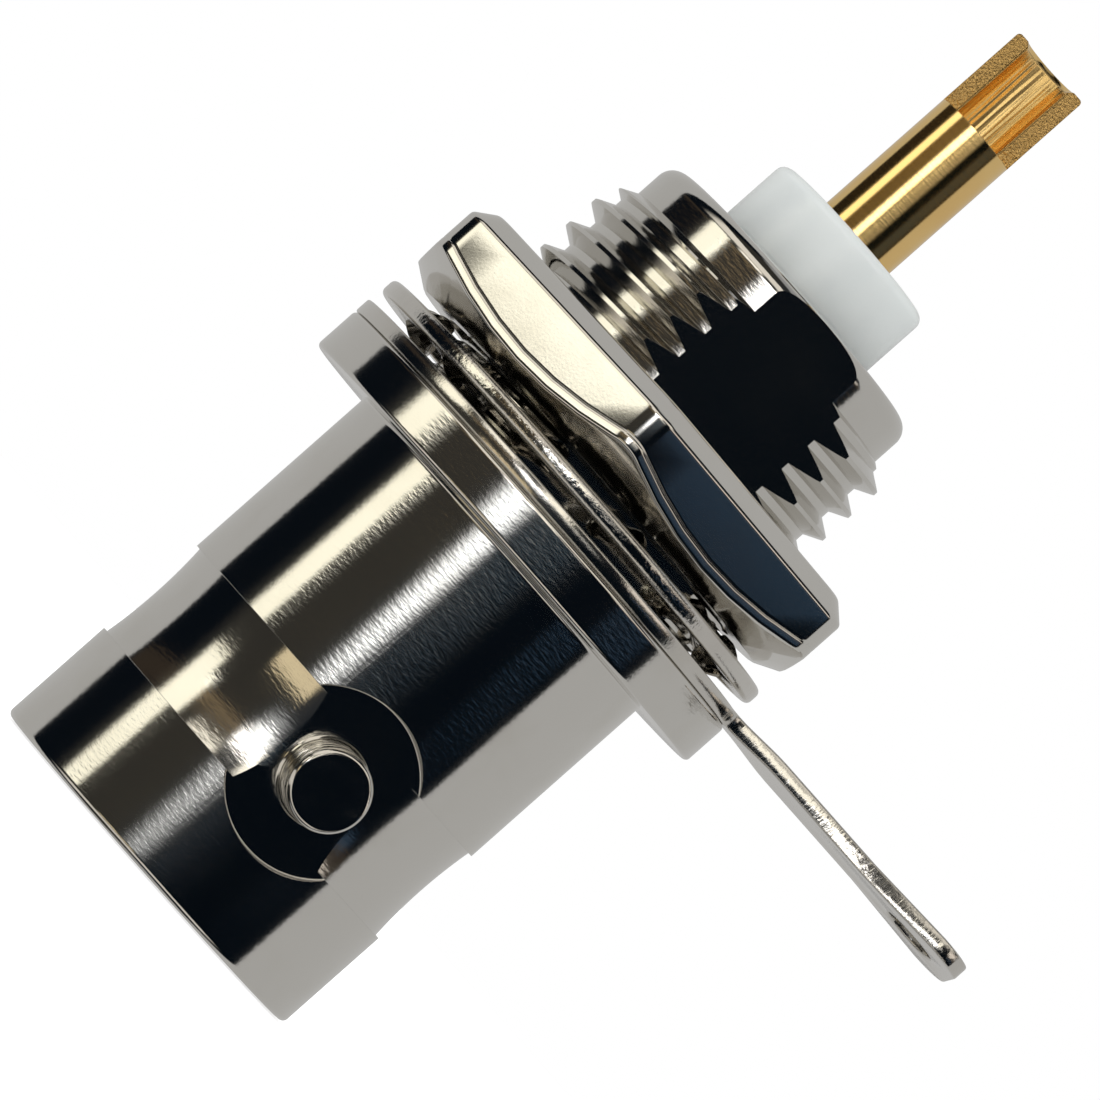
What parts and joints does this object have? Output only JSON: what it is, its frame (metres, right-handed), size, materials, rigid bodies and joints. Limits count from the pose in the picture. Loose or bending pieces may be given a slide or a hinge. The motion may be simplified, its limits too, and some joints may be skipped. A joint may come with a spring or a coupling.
{
  "type": "bnc bulkhead jack",
  "caption": "Round bayonet coaxial jack for a panel: studded barrel, flange, threaded shank with nut, lock washer and ground tag, solder cup at the back.",
  "frame": {"origin": "centre of the mating face, on the axis of the barrel", "axes": "+Z along the axis from the mating face to the solder cup, +X through one bayonet stud and square to the flat of the shank"},
  "size_m": [0.014, 0.0211, 0.028],
  "materials": {
    "nickel_plate": "turned brass with bright nickel plate",
    "nut_plate": "milled brass with bright nickel plate",
    "tag_plate": "stamped brass with bright nickel plate, sheared edges",
    "spring_washer": "stamped phosphor bronze with nickel plate",
    "gold_plate": "turned brass with gold plate",
    "white_insulator": "turned white fluoropolymer, slightly translucent"
  },
  "bodies": {
    "connector": {"shell": "nickel_plate", "front_insulator": "white_insulator", "rear_insulator": "white_insulator", "centre_contact": "gold_plate", "ground_tag": "tag_plate"},
    "washer": {"lock_washer": "spring_washer"},
    "nut": {"hex_nut": "nut_plate"}
  },
  "joints": [
    {"name": "washer_slide", "type": "slide", "parent": "connector", "child": "washer", "axis": [0, 0, 1], "range_m": [0, 0.00476]},
    {"name": "nut_turn", "type": "hinge", "parent": "washer", "child": "nut", "pos_m": [0, 0, 0.0148], "axis": [0, 0, 1], "range_deg": [0, 2160]}
  ],
  "couplings": [
    {"joint": "nut_turn", "follows": "washer_slide", "rad_per_m": 7915.8}
  ]
}
